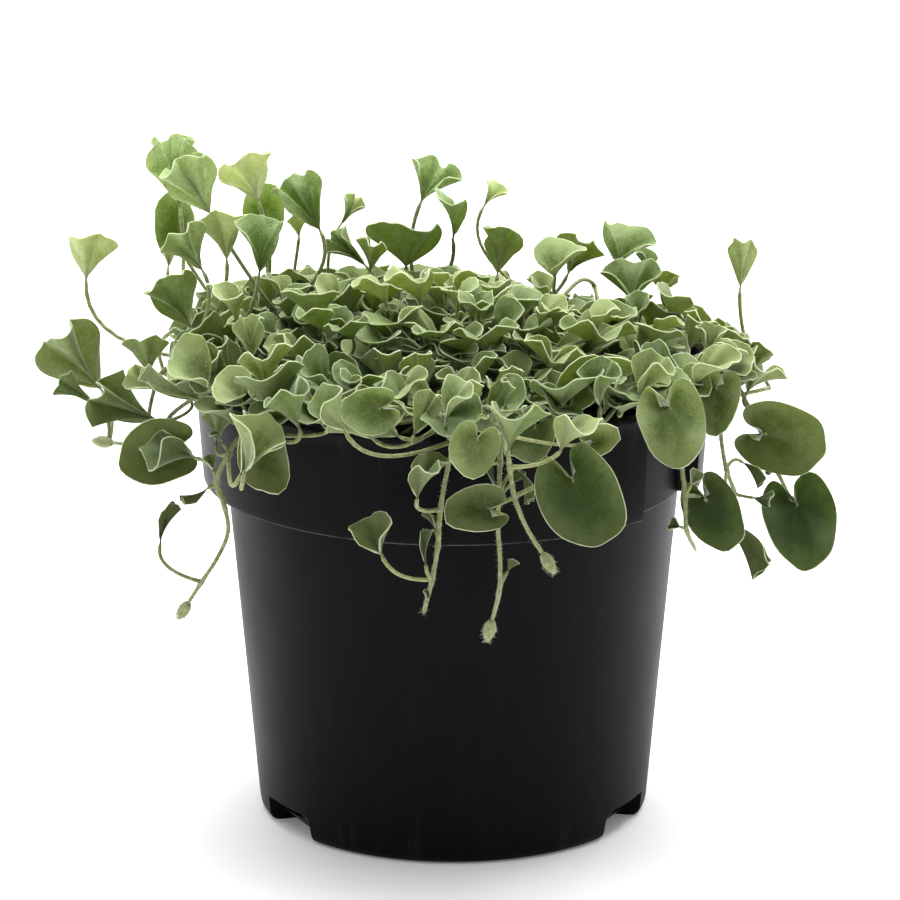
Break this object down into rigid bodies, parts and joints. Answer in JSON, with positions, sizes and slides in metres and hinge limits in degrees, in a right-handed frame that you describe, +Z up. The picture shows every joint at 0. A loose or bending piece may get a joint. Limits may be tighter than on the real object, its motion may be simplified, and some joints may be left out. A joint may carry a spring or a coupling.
{
  "type": "potted trailing plant",
  "caption": "Silver-leaved trailing dichondra in a round black nursery pot with a deep collar; stems spill over the rim",
  "frame": {"origin": "centre of the flat underside of the pot", "axes": "+Z up along the pot axis, -Y toward the viewer of the picture, +X to its right"},
  "size_m": [0.2212, 0.2002, 0.1844],
  "materials": {
    "pot_plastic": "satin black, moulded",
    "soil": "loose dark peat",
    "foliage": "velvety silver-green leaves"
  },
  "bodies": {
    "root": {"pot": "pot_plastic", "soil": "soil", "stem_01": "foliage", "stem_02": "foliage", "stem_03": "foliage", "stem_04": "foliage", "stem_05": "foliage", "stem_06": "foliage", "stem_07": "foliage", "stem_08": "foliage", "stem_09": "foliage", "stem_10": "foliage", "stem_11": "foliage", "stem_12": "foliage", "stem_13": "foliage", "stem_14": "foliage", "stem_15": "foliage", "stem_16": "foliage", "stem_17": "foliage", "stem_18": "foliage", "stem_19": "foliage", "stem_20": "foliage", "stem_21": "foliage", "stem_22": "foliage", "stem_23": "foliage", "stem_24": "foliage", "stem_25": "foliage", "stem_26": "foliage", "stem_27": "foliage", "stem_28": "foliage", "stem_29": "foliage", "stem_30": "foliage", "stem_31": "foliage", "stem_32": "foliage", "stem_33": "foliage", "stem_34": "foliage"}
  },
  "joints": []
}
